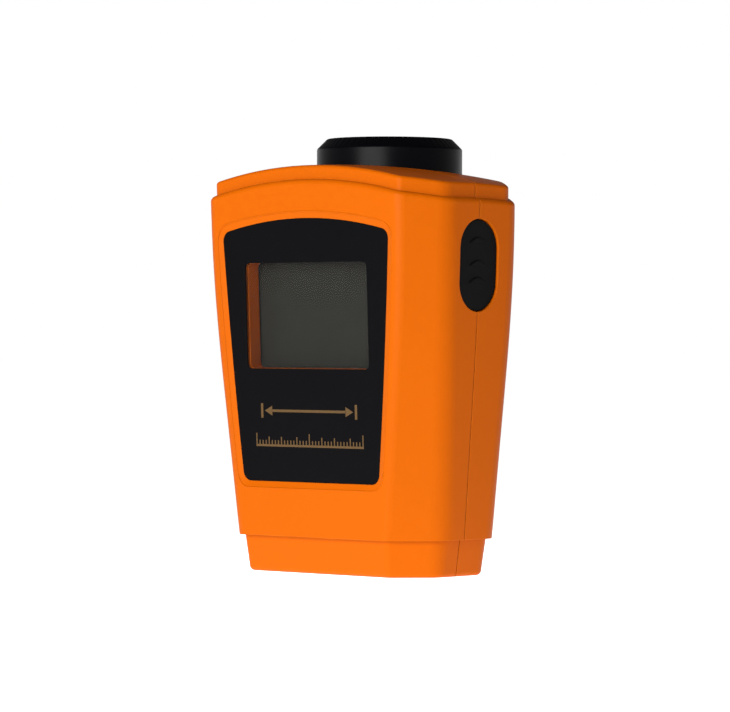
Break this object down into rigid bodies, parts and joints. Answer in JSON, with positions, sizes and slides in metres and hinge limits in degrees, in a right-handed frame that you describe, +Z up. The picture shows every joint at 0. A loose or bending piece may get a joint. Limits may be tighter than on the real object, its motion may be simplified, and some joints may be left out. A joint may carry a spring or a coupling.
{
  "type": "distance meter",
  "caption": "Hand-held ultrasonic distance meter with display window, round sounding horn on top, side measuring key and hinged battery door.",
  "frame": {"origin": "middle of the foot, on the surface that the meter stands on", "axes": "+Z up towards the horn, the display faces -Y, the measuring key is on +X"},
  "size_m": [0.0738, 0.0499, 0.1022],
  "materials": {
    "casing": "orange moulded ABS, fine satin",
    "key": "black soft-touch key",
    "collar": "black satin plastic with a milled-looking chamfer",
    "seal": "soft black rubber",
    "can": "drawn, satin",
    "cone": "thin pressed cone",
    "mesh": "fine woven screen",
    "pin": "tinned",
    "brass": "turned",
    "diode": "gold-plated can",
    "lens": "clear moulded",
    "print": "black back print",
    "display_frame": "black moulded",
    "display": "grey-green liquid crystal glass",
    "reflector": "pale reflecting film",
    "zebra": "striped silicone",
    "board": "green solder mask on glass fibre",
    "chip": "black epoxy",
    "core": "ferrite with copper winding",
    "sleeve": "shrink sleeve",
    "bead": "dipped bead",
    "screw": "zinc-plated",
    "plunger": "cream moulded",
    "battery": null,
    "snap": "soft black vinyl",
    "foam": "open-cell foam",
    "red_wire": "PVC insulation",
    "black_wire": "PVC insulation",
    "white_wire": "PVC insulation",
    "blue_wire": "PVC insulation",
    "yellow_wire": "PVC insulation"
  },
  "bodies": {
    "housing": {"front_shell": "casing", "rear_shell": "casing", "horn_collar": "collar", "collar_gasket": "seal", "transducer_sleeve": "seal", "transducer_can": "can", "transducer_cone": "cone", "transducer_mesh": "mesh", "transducer_pins": "pin", "laser_barrel": "brass", "laser_diode": "diode", "laser_lens": "lens", "laser_window": "lens", "face_lens": "lens", "face_print": "print", "lcd_frame": "display_frame", "lcd_glass": "display", "lcd_reflector": "reflector", "zebra_strips": "zebra", "main_pcb": "board", "controller_chip": "chip", "crystal": "can", "step_up_transformer": "core", "electrolytic_capacitors": "sleeve", "smd_parts": "chip", "thermistor": "bead", "buzzer": "chip", "board_screws": "screw", "switch_board": "board", "switch_body": "chip", "battery_case": "battery", "battery_terminals": "pin", "snap_connector": "snap", "battery_lead_red": "red_wire", "battery_lead_black": "black_wire", "transducer_leads": "white_wire", "laser_leads": "blue_wire", "switch_leads": "yellow_wire", "case_screws": "screw"},
    "key": {"side_button": "key", "switch_plunger": "plunger"},
    "door": {"battery_door": "casing", "battery_foam": "foam"}
  },
  "joints": [
    {"name": "key_press", "type": "slide", "parent": "housing", "child": "key", "axis": [-1, 0, 0], "range_m": [0, 0.0008], "stiffness_N_per_m": 900, "springref_m": -0.0004},
    {"name": "door_hinge", "type": "hinge", "parent": "housing", "child": "door", "pos_m": [0, 0.02017, 0.0112], "axis": [-1, 0, 0], "range_deg": [0, 75]}
  ]
}
